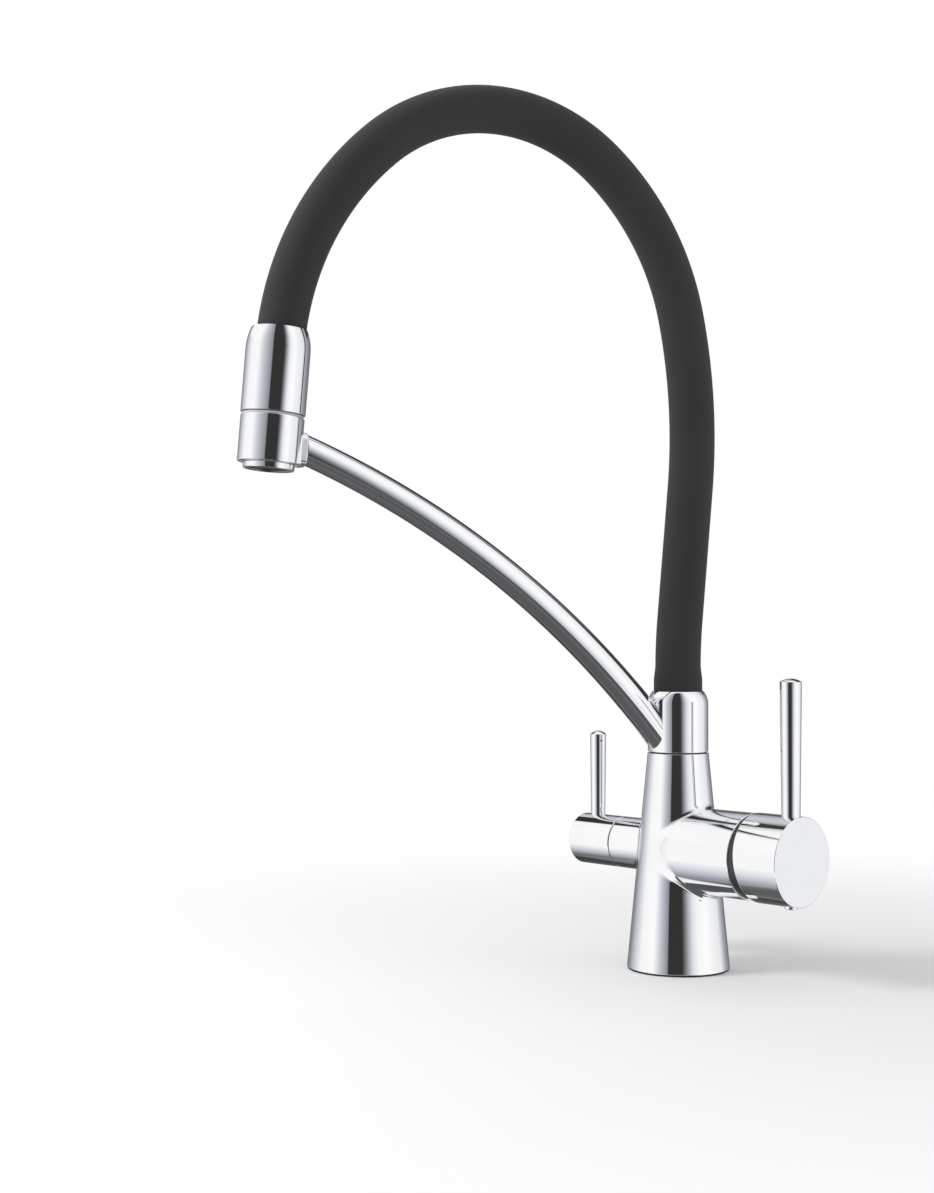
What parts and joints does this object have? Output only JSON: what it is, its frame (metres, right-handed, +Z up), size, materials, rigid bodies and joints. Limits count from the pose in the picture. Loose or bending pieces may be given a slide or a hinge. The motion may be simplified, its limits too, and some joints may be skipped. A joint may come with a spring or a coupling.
{
  "type": "three way kitchen tap",
  "caption": "Deck tap for hot, cold and filtered water: side mixer lever, opposite filter lever, flexible hose spout with a lift-out spray head docked on a curved swivelling arm.",
  "frame": {"origin": "centre of the base on the worktop's top surface", "axes": "+Z up, +X along the mixer branch, -X along the filter branch, -Y towards the person at the sink"},
  "size_m": [0.1653, 0.2466, 0.4875],
  "materials": {
    "chrome": "mirror polished chrome plate",
    "black_hose": "smooth matt charcoal silicone",
    "water_hose": "extruded hose",
    "rubber": "moulded rubber",
    "brass": "machined",
    "steel": "turned stainless steel",
    "ceramic": "lapped ceramic",
    "white_plastic": "moulded acetal",
    "grey_plastic": "moulded plastic",
    "dock_plastic": "moulded acetal, satin"
  },
  "bodies": {
    "body": {"tap_body": "chrome", "base_gasket": "rubber", "inlet_check_valves": "white_plastic", "threaded_shank": "brass", "rubber_washer": "rubber", "steel_washer": "steel", "shank_nut": "brass", "cartridge_base": "white_plastic", "cartridge_port_seals": "rubber", "fixed_ceramic_disc": "ceramic", "cartridge_housing": "white_plastic", "cartridge_nut": "brass", "cartridge_hood": "chrome", "filter_valve_seal": "rubber", "filter_valve_body": "brass", "filter_fixed_disc": "ceramic", "filter_gland": "brass", "swivel_bush": "white_plastic", "spigot_seals": "rubber"},
    "mixer_hub": {"stem_hub": "white_plastic", "tilt_pin": "steel"},
    "mixer_disc": {"moving_ceramic_disc": "ceramic", "disc_coupler": "white_plastic"},
    "mixer_handle": {"mixer_stem": "steel", "mixer_knob": "chrome", "mixer_lever": "chrome", "mixer_grub_screw": "steel", "mixer_screw_cap": "grey_plastic"},
    "filter_handle": {"filter_moving_disc": "ceramic", "filter_spindle": "brass", "filter_spindle_seal": "rubber", "filter_knob": "chrome", "filter_lever": "chrome", "filter_grub_screw": "steel"},
    "spout": {"water_distributor": "brass", "swivel_screw": "steel", "spout_collar": "chrome", "hose_sleeve": "black_hose", "mixed_hose": "water_hose", "filtered_tube": "water_hose", "hose_anchor": "steel", "mixed_hose_crimp": "steel", "holder_arm": "chrome", "arm_plug": "white_plastic", "dock_ring": "chrome", "dock_liner": "dock_plastic", "dock_screw": "steel"},
    "head": {"head_shell": "chrome", "hose_ball_fitting": "brass", "ball_retainer": "white_plastic", "head_core": "white_plastic", "head_nose": "chrome", "aerator_housing": "grey_plastic", "aerator_screen": "grey_plastic", "filtered_outlet": "grey_plastic"}
  },
  "joints": [
    {"name": "spout_swivel", "type": "hinge", "parent": "body", "child": "spout", "pos_m": [0, 0, 0.12], "axis": [0, 0, 1], "range_deg": [-70.4, 109.6]},
    {"name": "head_lift", "type": "slide", "parent": "spout", "child": "head", "axis": [0.0281, 0.0788, 0.9965], "range_m": [0, 0.03], "deforming": ["hose_sleeve", "mixed_hose", "filtered_tube"]},
    {"name": "mixer_turn", "type": "hinge", "parent": "body", "child": "mixer_hub", "pos_m": [0.046, 0, 0.0608], "axis": [1, 0, 0], "range_deg": [-50, 50]},
    {"name": "mixer_tilt", "type": "hinge", "parent": "mixer_hub", "child": "mixer_handle", "pos_m": [0.046, 0, 0.0608], "axis": [0, 1, 0], "range_deg": [0, 16]},
    {"name": "disc_slide", "type": "slide", "parent": "mixer_hub", "child": "mixer_disc", "axis": [0, 0, 1], "range_m": [0, 0.0045]},
    {"name": "filter_turn", "type": "hinge", "parent": "body", "child": "filter_handle", "pos_m": [-0.05, 0, 0.0608], "axis": [1, 0, 0], "range_deg": [0, 90]}
  ],
  "couplings": [
    {"joint": "disc_slide", "follows": "mixer_tilt", "m_per_rad": 0.01579}
  ]
}
